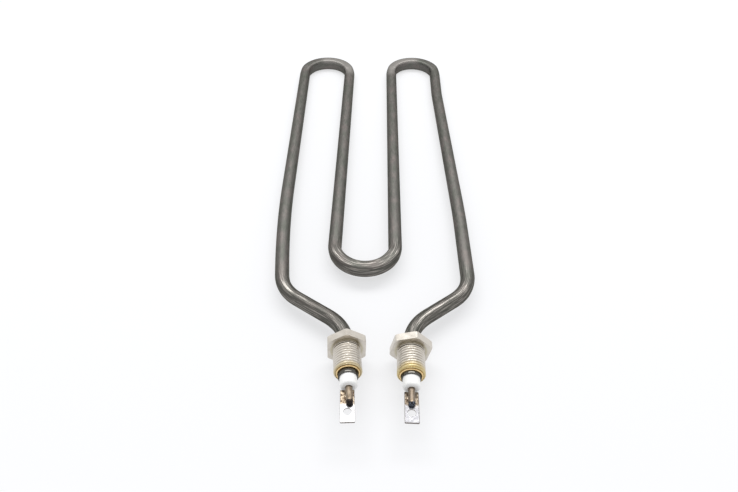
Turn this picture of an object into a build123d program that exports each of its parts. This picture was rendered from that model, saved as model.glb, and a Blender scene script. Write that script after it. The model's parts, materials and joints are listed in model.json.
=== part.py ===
from build123d import *
from math import asin, cos, degrees, hypot, radians, sin
import os

os.makedirs("parts", exist_ok=True)

# A tubular heating element, in millimetres. One steel tube is bent flat into a W: two legs, a
# bend at the back, two legs, a bend at the middle, and so on. Its two ends come together at the
# front, where each runs through a threaded fitting and ends in a ceramic bush and a tab terminal.
# The element lies at rest: back bends and fittings on the ground, +Z up, +Y to the back bends.

# ---- sheath
TUBE_OD = 8.0
TUBE_WALL = 0.7
MOUTH_OD = 9.9  # the tube's ends are opened out to take the ceramic bushes
MOUTH_FLARE = 1.2  # length of the cone between tube and mouth
MOUTH_DEPTH = 6.5  # length of the opened-out end

# ---- bends, radii to the tube's centre line
MIDDLE_RADIUS = 17.6
LEFT_BACK_RADIUS = 18.0
RIGHT_BACK_RADIUS = 17.6
ELBOW_RADIUS = 22.8
NECK_RADIUS = 23.7
BOW_RADIUS = 700.0  # the legs' long gentle curves, left by handling
KINK_RADIUS = 60.0
PRESS_DEPTH = 0.8  # how deep the former flattens the wall inside each U-bend

# ---- straights
LEFT_INNER_LEG = 187.3
LEFT_OUTER_LEG = 136.8
LEFT_LEG_END = 0.6
LEFT_ARM = 20.0
LEFT_NECK = 0.2  # bare tube between the last bend and the fitting
RIGHT_INNER_LEG = 189.6
RIGHT_LEG_START = 27.0
RIGHT_OUTER_LEG = 122.2
RIGHT_LEG_END = 35.0
RIGHT_ARM = 17.9
RIGHT_NECK = 0.2

# ---- turns in degrees, all within the element's own plane
START_LEAN = 0.3
LEFT_MIDDLE_TURN = 90.4
LEFT_BACK_TURN = 181.1
LEFT_BOW_TURN = 6.0
LEFT_ELBOW_TURN = 50.2
LEFT_NECK_TURN = 51.9
RIGHT_MIDDLE_TURN = 90.0
RIGHT_BACK_TURN = 180.5
RIGHT_KINK_TURN = 2.6
RIGHT_BOW_TURN = 1.9
RIGHT_ELBOW_TURN = 53.9
RIGHT_NECK_TURN = 52.2
LEFT_RISE = 10.5  # how far each fitting points up out of that plane
RIGHT_RISE = 7.5

# ---- threaded fittings, M14 x 1.5 with a 19 mm hexagon
HEX_AF = 19.0
HEX_THICKNESS = 4.2
HEX_CHAMFER = 0.35
HEX_CHAMFER_RUN = 0.7  # the chamfer's length across the hexagon's faces
THREAD_OD = 13.8
SHANK_LENGTH = 14.9
RELIEF_OD = 12.0  # groove between the hexagon and the thread
RELIEF_WIDTH = 1.3
SEAT_BORE = 14.2  # the seating face starts outside the thread
SEAT_DEPTH = 0.3  # how deep the groove is cut into the hexagon inside it
NOSE_CHAMFER = 0.9
BORE_CLEARANCE = 0.05  # radial, between the fitting and the tube
BORE_SPARE = 0.5  # how much deeper the wide bore is than the tube's mouth needs
LEFT_HEX_TURN = -2.1  # how the hexagons happen to stand, about their own axes
RIGHT_HEX_TURN = -13.4
BRAZE_WIDTH = 0.9  # brazing metal round the tube, on the fitting's nose
BRAZE_HEIGHT = 0.6

# ---- terminals
LEFT_STANDOUT = 3.0  # tube mouth beyond the fitting's nose
RIGHT_STANDOUT = 2.0
BUSH_CLEARANCE = 0.05
BUSH_STANDOUT = 5.4
BUSH_ROUND = 0.9
PIN_OD = 3.0
PIN_CLEARANCE = 0.05
PIN_STANDOUT = 9.3
PIN_END_ROUND = 0.5
PIN_REACH = 8.0  # how far the pins reach into the arms
SEAL_LENGTH = 5.0
TAB_WIDTH = 6.7
TAB_LENGTH = 17.0
TAB_THICKNESS = 0.8
TAB_GAP = 0.5  # from the bush's face
TAB_HOLE = 3.9
TAB_HOLE_END = 5.4  # the hole's centre from the tab's free end
TAB_CORNER = 0.4
LEFT_TAB_OFFSET = -0.9  # how the tabs happen to sit under their pins
RIGHT_TAB_OFFSET = 0.0
LEFT_TAB_TURN = -2.3
RIGHT_TAB_TURN = 0.0
LEFT_TAB_TILT = -3.0
RIGHT_TAB_TILT = 3.0
WELD_FLAT = 0.25  # how deep the pin is flattened where it is welded to the tab
WELD_SPARE = 1.0  # the flat's cut runs this far past the pin's tip

# ---- filling
COIL_OD = 4.0
COIL_WIRE = 0.5

TUBE_RADIUS = TUBE_OD / 2
TUBE_BORE = TUBE_OD - 2 * TUBE_WALL
MOUTH_BORE = MOUTH_OD - 2 * TUBE_WALL
FITTING_LENGTH = HEX_THICKNESS + SHANK_LENGTH
COIL_BORE = COIL_OD - 2 * COIL_WIRE
HEX_CORNER = HEX_AF / 2 / cos(radians(30))


def straight(start, heading, length):
    """One straight piece of the centre line, as its end points."""
    return [start, start + heading * length]


def bend(start, centre, axis, angle):
    """One arc of the centre line, turning about an axis through its centre, as three points."""
    turning = Axis((0, 0, 0), axis)
    spoke = start - centre
    return [start, centre + spoke.rotate(turning, angle / 2), centre + spoke.rotate(turning, angle)]


def tube_run(side, moves, rise):
    """The centre line from the middle bend's crown out to one fitting's back face.

    moves holds (straight, turn, radius) for each bend in order. side is 1 where the first bend
    turns left and -1 where it turns right. The last bend also rises out of the plane. Returns
    the line's pieces, the centres of its bends, its last point and its last heading.
    """
    up = Vector(0, 0, 1)
    upright = Axis((0, 0, 0), up)
    place = Vector(0, 0, 0)
    heading = Vector(side, 0, 0).rotate(upright, -START_LEAN)
    pieces = []
    centres = []
    for number, (length, turn, radius) in enumerate(moves):
        if length > 0:
            pieces.append(straight(place, heading, length))
            place = pieces[-1][-1]
        if turn == 0:
            continue
        target = heading.rotate(upright, turn)
        axis = up * (1 if turn > 0 else -1)
        angle = abs(turn)
        if number == len(moves) - 2:
            target = target * cos(radians(rise)) + up * sin(radians(rise))
            axis = heading.cross(target).normalized()
            angle = heading.get_angle(target)
        centres.append(place + axis.cross(heading) * radius)
        pieces.append(bend(place, centres[-1], axis, angle))
        place = pieces[-1][-1]
        heading = target
    return pieces, centres, place, heading


LEFT_MOVES = [
    (0, -LEFT_MIDDLE_TURN, MIDDLE_RADIUS),
    (LEFT_INNER_LEG, LEFT_BACK_TURN, LEFT_BACK_RADIUS),
    (LEFT_OUTER_LEG, LEFT_BOW_TURN, BOW_RADIUS),
    (LEFT_LEG_END, LEFT_ELBOW_TURN, ELBOW_RADIUS),
    (LEFT_ARM, -LEFT_NECK_TURN, NECK_RADIUS),
    (LEFT_NECK, 0, 0),
]
RIGHT_MOVES = [
    (0, RIGHT_MIDDLE_TURN, MIDDLE_RADIUS),
    (RIGHT_INNER_LEG, -RIGHT_BACK_TURN, RIGHT_BACK_RADIUS),
    (RIGHT_LEG_START, RIGHT_KINK_TURN, KINK_RADIUS),
    (RIGHT_OUTER_LEG, -RIGHT_BOW_TURN, BOW_RADIUS),
    (RIGHT_LEG_END, -RIGHT_ELBOW_TURN, ELBOW_RADIUS),
    (RIGHT_ARM, RIGHT_NECK_TURN, NECK_RADIUS),
    (RIGHT_NECK, 0, 0),
]


class End:
    """One end of the tube: the axis of its fitting, and what differs from the other end."""

    def __init__(self, name, side, moves, rise, hex_turn, standout, tab_seat):
        self.name = name
        self.pieces, self.centres, self.back, self.heading = tube_run(side, moves, rise)
        self.hex_turn = hex_turn
        self.tab_offset, self.tab_turn, self.tab_tilt = tab_seat
        self.sideways = Vector(0, 0, 1).cross(self.heading).normalized()
        self.upward = self.heading.cross(self.sideways)
        self.plane = Plane(self.back, x_dir=self.sideways, z_dir=self.heading)
        self.axis = Axis(self.back, self.heading)
        self.mouth = FITTING_LENGTH + standout
        self.flare = self.mouth - MOUTH_DEPTH
        self.filling_end = self.flare - SEAL_LENGTH
        self.bush_face = self.mouth + BUSH_STANDOUT
        self.pin_tip = self.bush_face + PIN_STANDOUT

    def at(self, distance):
        """The plane across the fitting's axis, at a distance in front of its back face."""
        return self.plane.offset(distance)

    def along(self, distance):
        """The plane whose X is across the fitting and whose Y runs forward along its axis."""
        normal = self.sideways.cross(self.heading)
        return Plane(self.at(distance).origin, x_dir=self.sideways, z_dir=normal)

    def tab_face(self):
        """The tab's upper face, centred under the middle of the weld, with Y pointing back."""
        height = PIN_OD / 2 - WELD_FLAT
        middle = self.at((self.bush_face + self.pin_tip) / 2).origin - self.upward * height
        face = Plane(middle, x_dir=self.sideways, z_dir=self.upward)
        return face.rotated((-self.tab_tilt, 0, self.tab_turn))


LEFT_TAB_SEAT = (LEFT_TAB_OFFSET, LEFT_TAB_TURN, LEFT_TAB_TILT)
RIGHT_TAB_SEAT = (RIGHT_TAB_OFFSET, RIGHT_TAB_TURN, RIGHT_TAB_TILT)
LEFT = End("left", -1, LEFT_MOVES, LEFT_RISE, LEFT_HEX_TURN, LEFT_STANDOUT, LEFT_TAB_SEAT)
RIGHT = End("right", 1, RIGHT_MOVES, RIGHT_RISE, RIGHT_HEX_TURN, RIGHT_STANDOUT, RIGHT_TAB_SEAT)
ENDS = [LEFT, RIGHT]
FORMERS = [
    (LEFT.centres[0], MIDDLE_RADIUS),
    (LEFT.centres[1], LEFT_BACK_RADIUS),
    (RIGHT.centres[1], RIGHT_BACK_RADIUS),
]


def draw(pieces):
    """Draw lines and arcs from their points, inside a BuildLine."""
    for points in pieces:
        if len(points) == 2:
            Line(*points)
        else:
            ThreePointArc(*points)


def turned_back(pieces):
    """The same pieces from the other end."""
    return [points[::-1] for points in pieces[::-1]]


def inner_end(end):
    """The arm cut in two where the pin stops in it: the hot side, then the cold side."""
    start, finish = end.pieces[-3]
    cut = finish + (start - finish).normalized() * PIN_REACH
    return [start, cut], [cut, finish]


def end_run(end, distance):
    """The neck bend and the straight from it to a distance along the fitting."""
    return [end.pieces[-2], [end.pieces[-1][0], end.at(distance).origin]]


def cold_run(end, distance):
    """The centre line from the pin's inner end to a distance along the fitting."""
    return [inner_end(end)[1]] + end_run(end, distance)


def hot_run():
    """The centre line between the two pins, from left to right."""
    left = LEFT.pieces[:-3] + [inner_end(LEFT)[0]]
    right = RIGHT.pieces[:-3] + [inner_end(RIGHT)[0]]
    return turned_back(left) + right


def whole_run():
    """The centre line of the plain tube, between the two opened-out mouths."""
    left = LEFT.pieces[:-2] + end_run(LEFT, LEFT.flare)
    right = RIGHT.pieces[:-2] + end_run(RIGHT, RIGHT.flare)
    return turned_back(left) + right


def start_plane(pieces):
    """The plane across a run at its first point. Every run here starts with a straight."""
    first, second = pieces[0][0], pieces[0][1]
    return Plane(first, z_dir=second - first)


def round_bar(run, outer, bore=0.0, mode=Mode.ADD):
    """Sweep a round section, hollow where it has a bore, along a run inside a BuildPart."""
    with BuildLine() as line:
        draw(run)
    with BuildSketch(start_plane(run)) as section:
        Circle(outer / 2)
        if bore > 0:
            Circle(bore / 2, mode=Mode.SUBTRACT)
    sweep(sections=section.sketch, path=line.wire(), mode=mode)


def press(outer):
    """Flatten the inner side of a round bar in each U-bend, as the bending former does."""
    for centre, radius in FORMERS:
        with Locations(centre):
            Cylinder(radius - outer / 2 + PRESS_DEPTH, 2 * TUBE_OD, mode=Mode.SUBTRACT)


def make_sheath():
    """The steel tube, bent as one piece, with both mouths opened out."""
    with BuildPart() as bore:
        round_bar(whole_run(), TUBE_BORE)
        press(TUBE_BORE)
    with BuildPart() as sheath:
        round_bar(whole_run(), TUBE_OD)
        press(TUBE_OD)
        add(bore.part, mode=Mode.SUBTRACT)
        for end in ENDS:
            with BuildSketch(end.along(end.flare)):
                with BuildLine():
                    Polyline(
                        (TUBE_BORE / 2, 0),
                        (TUBE_OD / 2, 0),
                        (MOUTH_OD / 2, MOUTH_FLARE),
                        (MOUTH_OD / 2, MOUTH_DEPTH),
                        (MOUTH_BORE / 2, MOUTH_DEPTH),
                        (MOUTH_BORE / 2, MOUTH_FLARE),
                        close=True,
                    )
                make_face()
            revolve(axis=end.axis)
    return sheath.part


def make_filling():
    """Pressed magnesia: a sleeve round the pins and the coil, and a core inside the coil."""
    with BuildPart() as filling:
        round_bar(hot_run(), TUBE_BORE)
        press(TUBE_BORE)
        round_bar(hot_run(), COIL_OD, mode=Mode.SUBTRACT)
        round_bar(hot_run(), COIL_BORE)
        for end in ENDS:
            round_bar(cold_run(end, end.filling_end), TUBE_BORE, PIN_OD)
    return filling.part


def make_coil():
    """The resistance coil, as the sleeve that its close turns fill."""
    with BuildPart() as coil:
        round_bar(hot_run(), COIL_OD, COIL_BORE)
    return coil.part


def make_pin(end):
    """A terminal pin: bent with the tube, rounded at its tip, flattened on the tab."""
    with BuildPart() as pin:
        round_bar(cold_run(end, end.pin_tip), PIN_OD)
        fillet(pin.faces().sort_by(end.axis)[-1].edges(), PIN_END_ROUND)
        with BuildSketch(end.tab_face()):
            with Locations((0, -(TAB_GAP + WELD_SPARE) / 2)):
                Rectangle(TAB_WIDTH, PIN_STANDOUT - TAB_GAP + WELD_SPARE)
        extrude(amount=-PIN_OD, mode=Mode.SUBTRACT)
    return pin.part


def make_seal(end):
    """The potting between the magnesia and the bush."""
    with BuildPart() as seal:
        with BuildSketch(end.along(end.filling_end)):
            with BuildLine():
                Polyline(
                    (PIN_OD / 2, 0),
                    (TUBE_BORE / 2, 0),
                    (TUBE_BORE / 2, SEAL_LENGTH),
                    (MOUTH_BORE / 2, SEAL_LENGTH + MOUTH_FLARE),
                    (PIN_OD / 2, SEAL_LENGTH + MOUTH_FLARE),
                    close=True,
                )
            make_face()
        revolve(axis=end.axis)
    return seal.part


def make_bush(end):
    """The ceramic bush that keeps the pin off the tube's mouth."""
    back = end.flare + MOUTH_FLARE
    with BuildPart() as bush:
        with BuildSketch(end.at(back)):
            Circle(MOUTH_BORE / 2 - BUSH_CLEARANCE)
            Circle(PIN_OD / 2 + PIN_CLEARANCE, mode=Mode.SUBTRACT)
        extrude(amount=end.bush_face - back)
        front = bush.faces().sort_by(end.axis)[-1]
        fillet(front.edges().sort_by(SortBy.RADIUS)[-1], BUSH_ROUND)
    return bush.part


def counterbore_depth():
    """Deep enough for the tube's opened-out end, however little of it stands out."""
    return MOUTH_DEPTH - min(LEFT_STANDOUT, RIGHT_STANDOUT) + BORE_SPARE


def make_fitting(end):
    """A hexagon and a threaded shank, turned from bar and bored for the tube."""
    relief = HEX_THICKNESS + RELIEF_WIDTH
    deep = FITTING_LENGTH - counterbore_depth()
    slope = (MOUTH_OD - TUBE_OD) / 2
    bore = TUBE_OD / 2 + BORE_CLEARANCE
    wide_bore = MOUTH_OD / 2 + BORE_CLEARANCE
    lead = (THREAD_OD - RELIEF_OD) / 2
    with BuildPart() as fitting:
        with BuildSketch(end.at(0)):
            RegularPolygon(HEX_AF / 2, 6, major_radius=False, rotation=30 + end.hex_turn)
        extrude(amount=HEX_THICKNESS)
        with BuildSketch(end.along(0)):
            with BuildLine():
                Polyline(
                    (0, 0),
                    (HEX_CORNER - HEX_CHAMFER_RUN, 0),
                    (HEX_CORNER, HEX_CHAMFER),
                    (HEX_CORNER, HEX_THICKNESS - HEX_CHAMFER),
                    (HEX_CORNER - HEX_CHAMFER_RUN, HEX_THICKNESS),
                    (SEAT_BORE / 2, HEX_THICKNESS),
                    (SEAT_BORE / 2, HEX_THICKNESS - SEAT_DEPTH),
                    (0, HEX_THICKNESS - SEAT_DEPTH),
                    close=True,
                )
            make_face()
        revolve(axis=end.axis, mode=Mode.INTERSECT)
        with BuildSketch(end.along(0)):
            with BuildLine():
                Polyline(
                    (0, HEX_THICKNESS - SEAT_DEPTH),
                    (RELIEF_OD / 2, HEX_THICKNESS - SEAT_DEPTH),
                    (RELIEF_OD / 2, relief),
                    (THREAD_OD / 2, relief + lead),
                    (THREAD_OD / 2, FITTING_LENGTH - NOSE_CHAMFER),
                    (THREAD_OD / 2 - NOSE_CHAMFER, FITTING_LENGTH),
                    (0, FITTING_LENGTH),
                    close=True,
                )
            make_face()
        revolve(axis=end.axis)
        with BuildSketch(end.along(0)):
            with BuildLine():
                Polyline(
                    (0, 0),
                    (bore, 0),
                    (bore, deep - slope),
                    (wide_bore, deep),
                    (wide_bore, FITTING_LENGTH),
                    (0, FITTING_LENGTH),
                    close=True,
                )
            make_face()
        revolve(axis=end.axis, mode=Mode.SUBTRACT)
    return fitting.part


def make_braze(end):
    """The ring of brazing metal in the corner between the tube and the fitting's nose."""
    with BuildPart() as braze:
        with BuildSketch(end.along(FITTING_LENGTH)):
            with BuildLine():
                Polyline(
                    (MOUTH_OD / 2, 0),
                    (MOUTH_OD / 2 + BRAZE_WIDTH, 0),
                    (MOUTH_OD / 2, BRAZE_HEIGHT),
                    close=True,
                )
            make_face()
        revolve(axis=end.axis)
    return braze.part


def make_tab(end):
    """A flat tab with a hole for a screw, welded under the pin."""
    back_edge = PIN_STANDOUT / 2 - TAB_GAP
    hole_place = back_edge - TAB_LENGTH + TAB_HOLE_END
    with BuildPart() as tab:
        with BuildSketch(end.tab_face()):
            with Locations((end.tab_offset, back_edge - TAB_LENGTH / 2)):
                RectangleRounded(TAB_WIDTH, TAB_LENGTH, TAB_CORNER)
            with Locations((end.tab_offset, hole_place)):
                Circle(TAB_HOLE / 2, mode=Mode.SUBTRACT)
        extrude(amount=-TAB_THICKNESS)
    return tab.part


def lowest_corner(end):
    """The lowest corner of a hexagon's back face, while the element's plane is level."""
    corners = []
    for count in range(6):
        angle = radians(90 + end.hex_turn + 60 * count)
        place = (HEX_CORNER * cos(angle), HEX_CORNER * sin(angle), 0)
        corners.append(end.plane.from_local_coords(place))
    return min(corners, key=lambda corner: corner.Z)


parts = {
    "heater_sheath": make_sheath(),
    "magnesia_filling": make_filling(),
    "resistance_coil": make_coil(),
}
for end in ENDS:
    parts["terminal_pin_" + end.name] = make_pin(end)
    parts["end_seal_" + end.name] = make_seal(end)
    parts["ceramic_bush_" + end.name] = make_bush(end)
    parts["threaded_fitting_" + end.name] = make_fitting(end)
    parts["braze_ring_" + end.name] = make_braze(end)
    parts["tab_terminal_" + end.name] = make_tab(end)

# The back bends and the lower of the two hexagons carry the element, so it tips a little.
back_y = parts["heater_sheath"].bounding_box().max.Y - TUBE_RADIUS


def tip_for(end):
    """The angle at which the back bends and this end's hexagon both touch the ground."""
    corner = lowest_corner(end)
    reach = hypot(back_y - corner.Y, corner.Z)
    return degrees(asin(-corner.Z / reach) - asin(TUBE_RADIUS / reach))


tip = radians(max(tip_for(end) for end in ENDS))
level = Plane((0, 0, 0), x_dir=(1, 0, 0), z_dir=(0, sin(tip), cos(tip)))
laid = {name: part.moved(level.location) for name, part in parts.items()}
box = laid["heater_sheath"].bounding_box()
for part in laid.values():
    box = box.add(part.bounding_box())
home = Location((-box.center().X, -box.center().Y, -box.min.Z))
for name, part in laid.items():
    piece = part.moved(home)
    piece.label = name
    export_step(piece, "parts/" + name + ".step")
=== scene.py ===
import json
from math import atan2, ceil, cos, degrees, hypot, radians, sin, tau

import bmesh
import bpy
from mathutils import Matrix, Vector, noise


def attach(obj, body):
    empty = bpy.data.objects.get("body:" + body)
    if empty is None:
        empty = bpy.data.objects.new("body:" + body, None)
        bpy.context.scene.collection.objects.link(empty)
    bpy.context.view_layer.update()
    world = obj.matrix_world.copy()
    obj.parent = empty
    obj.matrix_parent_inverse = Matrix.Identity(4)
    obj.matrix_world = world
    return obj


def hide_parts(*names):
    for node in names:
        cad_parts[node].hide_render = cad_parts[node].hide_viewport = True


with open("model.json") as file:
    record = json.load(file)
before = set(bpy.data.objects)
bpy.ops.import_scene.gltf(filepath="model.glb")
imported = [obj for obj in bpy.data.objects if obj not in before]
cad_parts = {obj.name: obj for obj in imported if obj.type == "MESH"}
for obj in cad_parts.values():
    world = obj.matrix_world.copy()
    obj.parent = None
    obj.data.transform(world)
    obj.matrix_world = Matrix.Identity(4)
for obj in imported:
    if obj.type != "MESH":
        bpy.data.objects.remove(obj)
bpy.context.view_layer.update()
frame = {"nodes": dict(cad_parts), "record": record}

MM = 0.001
UP = Vector((0, 0, 1))

# ---- the tube's bend table, as the part's source has it, in millimetres and degrees
TUBE_RADIUS = 4.0
TUBE_BORE_RADIUS = 3.3
MOUTH_RADIUS = 4.95
MOUTH_BORE_RADIUS = 4.25
MOUTH_FLARE = 1.2
MOUTH_DEPTH = 6.5
MIDDLE_RADIUS = 17.6
ELBOW_RADIUS = 22.8
NECK_RADIUS = 23.7
BOW_RADIUS = 700.0
KINK_RADIUS = 60.0
START_LEAN = 0.3
# each row: straight before the bend, turn, radius, how hard the former presses the section
LEFT_MOVES = [
    (0, -90.4, MIDDLE_RADIUS, 1.0),
    (187.3, 181.1, 18.0, 1.0),
    (136.8, 6.0, BOW_RADIUS, 0.0),
    (0.6, 50.2, ELBOW_RADIUS, 0.35),
    (20.0, -51.9, NECK_RADIUS, 0.35),
]
RIGHT_MOVES = [
    (0, 90.0, MIDDLE_RADIUS, 1.0),
    (189.6, -180.5, 17.6, 1.0),
    (27.0, 2.6, KINK_RADIUS, 0.0),
    (122.2, -1.9, BOW_RADIUS, 0.0),
    (35.0, -53.9, ELBOW_RADIUS, 0.35),
    (17.9, 52.2, NECK_RADIUS, 0.35),
]
NECK_LENGTH = 0.2
PLANE_TIP = 1.0398  # the element's plane leans back this much where it rests on the ground

# ---- the section where the former has pressed it
PRESSED_OUTSIDE = 4.0  # from the middle to the side away from the bend's centre
PRESSED_INSIDE = 3.22
PRESSED_ABOVE = 4.28
PRESSED_BELOW = 3.98
SQUARENESS = 3.4  # the power of the squarish outline, on the outside of the bend
INSIDE_SQUARENESS = 2.2  # how much squarer it is on the inside
PRESS_RUN_IN = 26.0  # degrees of a bend over which the pressing starts and ends

# ---- the tube's mouths: distance from the start of the flare, and radius
MOUTH_OUTSIDE = [
    (0.18, 4.06), (0.9, 4.72), (1.3, 4.8), (3.0, 4.82), (3.9, 4.84), (4.2, 4.9), (4.5, 4.94),
    (4.9, MOUTH_RADIUS), (5.5, 4.94), (5.9, 4.9), (6.2, 4.85), (6.36, 4.79), (6.46, 4.7),
    (MOUTH_DEPTH, 4.6),
]
MOUTH_INSIDE = [
    (0.3, 3.42), (1.0, 4.16), (1.3, MOUTH_BORE_RADIUS), (5.6, MOUTH_BORE_RADIUS),
    (6.2, MOUTH_BORE_RADIUS), (6.38, 4.29), (6.47, 4.38), (MOUTH_DEPTH, 4.5),
]

# ---- distances along the tube from the middle bend's crown
BACK_BEND_START = 209.0
BACK_BEND_END = 252.0
ARMS_START = 482.0
MOUTH_START = 556.0

# ---- fittings
SLIDING_FIT = 0.05
HEX_AF = 19.0
HEX_THICKNESS = 4.2
HEX_CHAMFER = 0.35
HEX_CHAMFER_RUN = 0.7
HEX_CORNER = HEX_AF / 2 / cos(radians(30))
HEX_CORNER_WORN = 0.1  # how much the hexagon's corners are worn off
THREAD_RADIUS = 6.9
THREAD_ROOT = 6.2
THREAD_PITCH = 1.5
THREAD_ROOT_FLAT = 0.03  # shares of half a pitch that the root and the flank take
THREAD_FLANK = 0.62
FITTING_LENGTH = 19.1
WIDE_BORE_LENGTH = 5.0  # from the nose in, where the tube's mouth is opened out
BORE_CONE_LENGTH = 0.95
RELIEF_RADIUS = 6.0
RELIEF_END = 5.35
COLLAR_END = 4.8  # a narrow collar, and then the groove, between the hexagon and the thread
COLLAR_RADIUS = 6.78
SEAT_RADIUS = 7.1
SEAT_DEPTH = 0.3
THREAD_MIDDLE = 12.3  # where the mount thread_left is, along the fitting
NOSE_CHAMFER = 0.5
NOSE_RECESS = 0.35

# ---- terminals
BUSH_STANDOUT = 5.4
BUSH_SHOULDER = 1.15
BRAZE_WANDER = 0.22  # how much the bead's width and height vary
PIN_RADIUS = 1.5
PIN_STANDOUT = 9.3
PIN_REACH = 8.0
PIN_TIP_LENGTH = 1.95
# distance from the start of the melted tip, and radius
PIN_TIP = [(0.5, 1.46), (1.0, 1.36), (1.4, 1.22), (1.7, 1.04), (1.87, 0.82), (PIN_TIP_LENGTH, 0.5)]
PIN_FINE_START = 0.5  # the pin's fine rings begin this far out of the bush
PIN_WELDED_WIDER = 1.14  # how much the weld spreads the pin at the tab, and above it
PIN_ABOVE_WIDER = 1.12
WELD_FLAT = 0.25
WELD_SINK = 0.02
TAB_WIDTH = 6.7
TAB_LENGTH = 17.0
TAB_THICKNESS = 0.8
TAB_GAP = 0.5
TAB_BACK = PIN_STANDOUT / 2 - TAB_GAP  # the tab's back edge, in the tab's own frame
TAB_FRONT = TAB_BACK - TAB_LENGTH
TAB_CORNER = 0.45
TAB_EDGE = 0.09
TAB_HOLE_RADIUS = 1.95
TAB_HOLE_END = 5.4
# metal squeezed out at the weld: across, back, half width, half length
WELD_BUMPS = [
    (-1.55, 0.9, 1.0, 1.5), (1.5, 0.3, 0.85, 1.2), (-1.35, -2.3, 0.6, 0.8), (1.35, -2.6, 0.5, 0.8),
]
WELD_BUMP_HEIGHT = 0.34
WELD_BUMP_SINK = 0.05

# ---- fineness of the meshes
RING_SIDES = 36
PIN_SIDES = 24
BEND_STEP = 3.0
BOW_STEP = 0.5
LONG_RADIUS = 100.0  # bends wider than this are bows, and take the bow's step
STRAIGHT_STEP = 6.0
PIN_STEP = 0.55
FITTING_SIDES = 144
BUSH_SIDES = 72
BRAZE_SIDES = 96
ARC_STEPS = 8
THREAD_ROWS = 116
CHAMFER_ROWS = 5
HOLE_SIDES = 40
CORNER_STEPS = 5

# ---- light and camera
FLOOR_WHITE = 0.58  # how much of the floor's look is plain white, near the element
FLOOR_FADE = (0.16, 0.75)  # metres from the middle over which the floor turns all white
FLOOR_SIZE = 12.0
WORLD_LIGHT = 0.78
LAMP_PLACE = (0.0, 0.56, 1.07)
LAMP_AIM = (0.0, 0.0, 0.0)
LAMP_SIZE = (1.5, 0.4)
LAMP_POWER = 9.6
CAMERA_PLACE = Vector((-0.63, -267.94, 254.63)) * MM
CAMERA_PITCH, CAMERA_YAW, CAMERA_ROLL = radians(48.43), radians(-0.057), radians(0.671)
CAMERA_LENS = 27.495


# ------------------------------------------------------------------ where things are

class End:
    """One end of the element: which way it is bent and how its terminal sits."""

    def __init__(self, name, side, moves, rise, hex_turn, standout, tab_offset, tab_turn, tab_tilt):
        self.name = name
        self.side = side
        self.hex_turn = hex_turn
        self.tab_offset = tab_offset
        self.tab_turn = tab_turn
        self.tab_tilt = tab_tilt
        self.mouth = FITTING_LENGTH + standout
        self.flare = self.mouth - MOUTH_DEPTH
        self.bush_face = self.mouth + BUSH_STANDOUT
        self.pin_tip = self.bush_face + PIN_STANDOUT
        self.segments, self.back, self.heading = lay_out(side, moves, rise)
        self.sideways = UP.cross(self.heading).normalized()
        self.upward = self.heading.cross(self.sideways)

    def fitting_frame(self):
        """Matrix whose Z runs forward along the fitting from its back face, X to its left."""
        axes = Matrix((self.sideways, self.upward, self.heading)).transposed().to_4x4()
        return Matrix.Translation(self.back) @ axes

    def tab_frame(self):
        """Matrix of the tab's upper face: X across, Y back along the tab, Z up."""
        middle = self.back + self.heading * (self.bush_face + self.pin_tip) / 2
        middle -= self.upward * (PIN_RADIUS - WELD_FLAT)
        axes = Matrix((self.sideways, -self.heading, self.upward)).transposed().to_4x4()
        tilt = Matrix.Rotation(radians(-self.tab_tilt), 4, "X")
        turn = Matrix.Rotation(radians(self.tab_turn), 4, "Z")
        return Matrix.Translation(middle) @ axes @ tilt @ turn


def turned(vector, axis, angle):
    """A vector turned about an axis by an angle in degrees."""
    return Matrix.Rotation(radians(angle), 3, axis) @ vector


def lay_out(side, moves, rise):
    """The straights and bends from the middle bend's crown out to the fitting's back face.

    The last bend also lifts the fitting out of the element's plane, by the rise.
    """
    place = Vector((0, 0, 0))
    heading = turned(Vector((side, 0, 0)), UP, -START_LEAN)
    segments = []

    def go_straight(length):
        segments.append(dict(kind="straight", start=place, heading=heading, length=length))
        return place + heading * length

    for number, (length, turn, radius, press) in enumerate(moves):
        if length > 0:
            place = go_straight(length)
        target = turned(heading, UP, turn)
        axis = UP * (1 if turn > 0 else -1)
        angle = abs(turn)
        if number == len(moves) - 1:
            target = target * cos(radians(rise)) + UP * sin(radians(rise))
            axis = heading.cross(target).normalized()
            angle = degrees(heading.angle(target))
        centre = place + axis.cross(heading) * radius
        segments.append(
            dict(
                kind="bend", start=place, heading=heading, centre=centre, axis=axis,
                angle=angle, radius=radius, press=press, from_crown=number == 0,
            )
        )
        place = centre + turned(place - centre, axis, angle)
        heading = target
    return segments, go_straight(NECK_LENGTH), heading


LEFT = End(
    "left", -1, LEFT_MOVES, rise=10.5, hex_turn=-2.1, standout=3.0,
    tab_offset=-0.9, tab_turn=-2.3, tab_tilt=-3.0,
)
RIGHT = End(
    "right", 1, RIGHT_MOVES, rise=7.5, hex_turn=-13.4, standout=2.0,
    tab_offset=0.0, tab_turn=0.0, tab_tilt=3.0,
)
ENDS = [LEFT, RIGHT]


def row_frame():
    """Matrix from the element's own plane, in millimetres, to the row frame, in metres."""
    level = Matrix.Rotation(radians(-PLANE_TIP), 4, "X")
    point = level @ (LEFT.back + LEFT.heading * THREAD_MIDDLE) * MM
    mounts = frame["record"]["mounts"]
    seat = next(mount for mount in mounts if mount["name"] == "thread_left")
    home = Vector(seat["pos_m"]) - point
    return Matrix.Translation(home) @ level @ Matrix.Scale(MM, 4)


TO_ROW = row_frame()


# ------------------------------------------------------------------ making meshes

def new_mesh():
    """An empty mesh with a layer that remembers where each point is on its own piece."""
    bm = bmesh.new()
    return bm, bm.verts.layers.float_vector.new("lay")


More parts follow.
